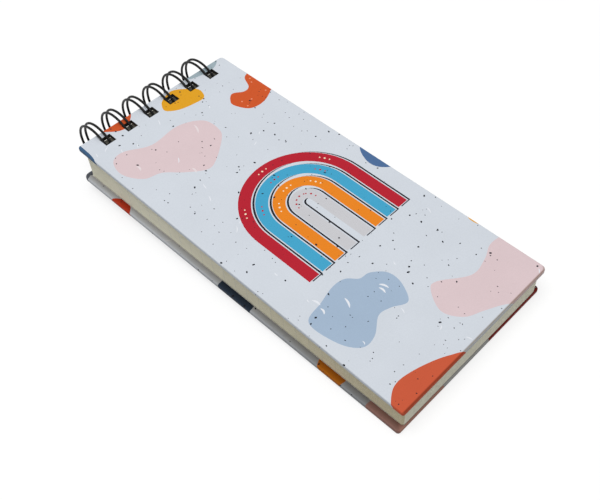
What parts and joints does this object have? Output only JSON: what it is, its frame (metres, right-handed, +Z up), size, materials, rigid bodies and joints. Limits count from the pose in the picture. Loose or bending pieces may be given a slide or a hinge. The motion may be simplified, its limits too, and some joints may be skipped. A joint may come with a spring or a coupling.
{
  "type": "wire-bound pocket notebook",
  "caption": "Slim hardcover pocket notebook, its case-wrapped boards and loose cream leaves bound along the short top edge by a black twin-loop wire.",
  "frame": {"origin": "centre of the rear cover's outer face, with the notebook closed and lying on its rear cover", "axes": "+X along the binding, +Y towards the binding, +Z up through the leaves to the front cover"},
  "size_m": [0.0906, 0.2095, 0.0275],
  "materials": {
    "printed_wrap": "matt laminated print",
    "greyboard": "raw cut board",
    "lining_paper": "uncoated",
    "leaf_paper": "uncoated cream",
    "coated_wire": "satin black coating"
  },
  "bodies": {
    "rear_cover": {"rear_wrap": "printed_wrap", "rear_board": "greyboard", "rear_liner": "lining_paper", "binding_wire": "coated_wire", "leaf_stack_6": "leaf_paper"},
    "front_cover": {"front_wrap": "printed_wrap", "front_board": "greyboard", "front_liner": "lining_paper"},
    "leaf_stack_1_body": {"leaf_stack_1": "leaf_paper"},
    "leaf_stack_2_body": {"leaf_stack_2": "leaf_paper"},
    "leaf_stack_3_body": {"leaf_stack_3": "leaf_paper"},
    "leaf_1_body": {"leaf_1": "leaf_paper"},
    "leaf_2_body": {"leaf_2": "leaf_paper"},
    "leaf_3_body": {"leaf_3": "leaf_paper"},
    "leaf_4_body": {"leaf_4": "leaf_paper"},
    "leaf_5_body": {"leaf_5": "leaf_paper"},
    "leaf_6_body": {"leaf_6": "leaf_paper"},
    "leaf_7_body": {"leaf_7": "leaf_paper"},
    "leaf_8_body": {"leaf_8": "leaf_paper"},
    "leaf_9_body": {"leaf_9": "leaf_paper"},
    "leaf_10_body": {"leaf_10": "leaf_paper"},
    "leaf_stack_4_body": {"leaf_stack_4": "leaf_paper"},
    "leaf_stack_5_body": {"leaf_stack_5": "leaf_paper"}
  },
  "joints": [
    {"name": "front_cover_turn", "type": "hinge", "parent": "rear_cover", "child": "front_cover", "pos_m": [0, 0.09893, 0.00818], "axis": [-1, 0, 0], "range_deg": [0, 180]},
    {"name": "leaf_stack_1_turn", "type": "hinge", "parent": "rear_cover", "child": "leaf_stack_1_body", "pos_m": [0, 0.09893, 0.00818], "axis": [-1, 0, 0], "range_deg": [0, 177.3]},
    {"name": "leaf_stack_2_turn", "type": "hinge", "parent": "rear_cover", "child": "leaf_stack_2_body", "pos_m": [0, 0.09893, 0.00818], "axis": [-1, 0, 0], "range_deg": [0, 174.6]},
    {"name": "leaf_stack_3_turn", "type": "hinge", "parent": "rear_cover", "child": "leaf_stack_3_body", "pos_m": [0, 0.09893, 0.00818], "axis": [-1, 0, 0], "range_deg": [0, 171.9]},
    {"name": "leaf_1_turn", "type": "hinge", "parent": "rear_cover", "child": "leaf_1_body", "pos_m": [0, 0.09893, 0.00818], "axis": [-1, 0, 0], "range_deg": [0, 165.6]},
    {"name": "leaf_2_turn", "type": "hinge", "parent": "rear_cover", "child": "leaf_2_body", "pos_m": [0, 0.09893, 0.00818], "axis": [-1, 0, 0], "range_deg": [0, 153]},
    {"name": "leaf_3_turn", "type": "hinge", "parent": "rear_cover", "child": "leaf_3_body", "pos_m": [0, 0.09893, 0.00818], "axis": [-1, 0, 0], "range_deg": [0, 138.6]},
    {"name": "leaf_4_turn", "type": "hinge", "parent": "rear_cover", "child": "leaf_4_body", "pos_m": [0, 0.09893, 0.00818], "axis": [-1, 0, 0], "range_deg": [0, 122.4]},
    {"name": "leaf_5_turn", "type": "hinge", "parent": "rear_cover", "child": "leaf_5_body", "pos_m": [0, 0.09893, 0.00818], "axis": [-1, 0, 0], "range_deg": [0, 106.2]},
    {"name": "leaf_6_turn", "type": "hinge", "parent": "rear_cover", "child": "leaf_6_body", "pos_m": [0, 0.09893, 0.00818], "axis": [-1, 0, 0], "range_deg": [0, 90]},
    {"name": "leaf_7_turn", "type": "hinge", "parent": "rear_cover", "child": "leaf_7_body", "pos_m": [0, 0.09893, 0.00818], "axis": [-1, 0, 0], "range_deg": [0, 73.8]},
    {"name": "leaf_8_turn", "type": "hinge", "parent": "rear_cover", "child": "leaf_8_body", "pos_m": [0, 0.09893, 0.00818], "axis": [-1, 0, 0], "range_deg": [0, 57.6]},
    {"name": "leaf_9_turn", "type": "hinge", "parent": "rear_cover", "child": "leaf_9_body", "pos_m": [0, 0.09893, 0.00818], "axis": [-1, 0, 0], "range_deg": [0, 41.4]},
    {"name": "leaf_10_turn", "type": "hinge", "parent": "rear_cover", "child": "leaf_10_body", "pos_m": [0, 0.09893, 0.00818], "axis": [-1, 0, 0], "range_deg": [0, 27]},
    {"name": "leaf_stack_4_turn", "type": "hinge", "parent": "rear_cover", "child": "leaf_stack_4_body", "pos_m": [0, 0.09893, 0.00818], "axis": [-1, 0, 0], "range_deg": [0, 12.6]},
    {"name": "leaf_stack_5_turn", "type": "hinge", "parent": "rear_cover", "child": "leaf_stack_5_body", "pos_m": [0, 0.09893, 0.00818], "axis": [-1, 0, 0], "range_deg": [0, 5.4]}
  ],
  "couplings": [
    {"joint": "leaf_stack_1_turn", "follows": "front_cover_turn", "ratio": 0.985},
    {"joint": "leaf_stack_2_turn", "follows": "front_cover_turn", "ratio": 0.97},
    {"joint": "leaf_stack_3_turn", "follows": "front_cover_turn", "ratio": 0.955},
    {"joint": "leaf_1_turn", "follows": "front_cover_turn", "ratio": 0.92},
    {"joint": "leaf_2_turn", "follows": "front_cover_turn", "ratio": 0.85},
    {"joint": "leaf_3_turn", "follows": "front_cover_turn", "ratio": 0.77},
    {"joint": "leaf_4_turn", "follows": "front_cover_turn", "ratio": 0.68},
    {"joint": "leaf_5_turn", "follows": "front_cover_turn", "ratio": 0.59},
    {"joint": "leaf_6_turn", "follows": "front_cover_turn", "ratio": 0.5},
    {"joint": "leaf_7_turn", "follows": "front_cover_turn", "ratio": 0.41},
    {"joint": "leaf_8_turn", "follows": "front_cover_turn", "ratio": 0.32},
    {"joint": "leaf_9_turn", "follows": "front_cover_turn", "ratio": 0.23},
    {"joint": "leaf_10_turn", "follows": "front_cover_turn", "ratio": 0.15},
    {"joint": "leaf_stack_4_turn", "follows": "front_cover_turn", "ratio": 0.07},
    {"joint": "leaf_stack_5_turn", "follows": "front_cover_turn", "ratio": 0.03}
  ]
}
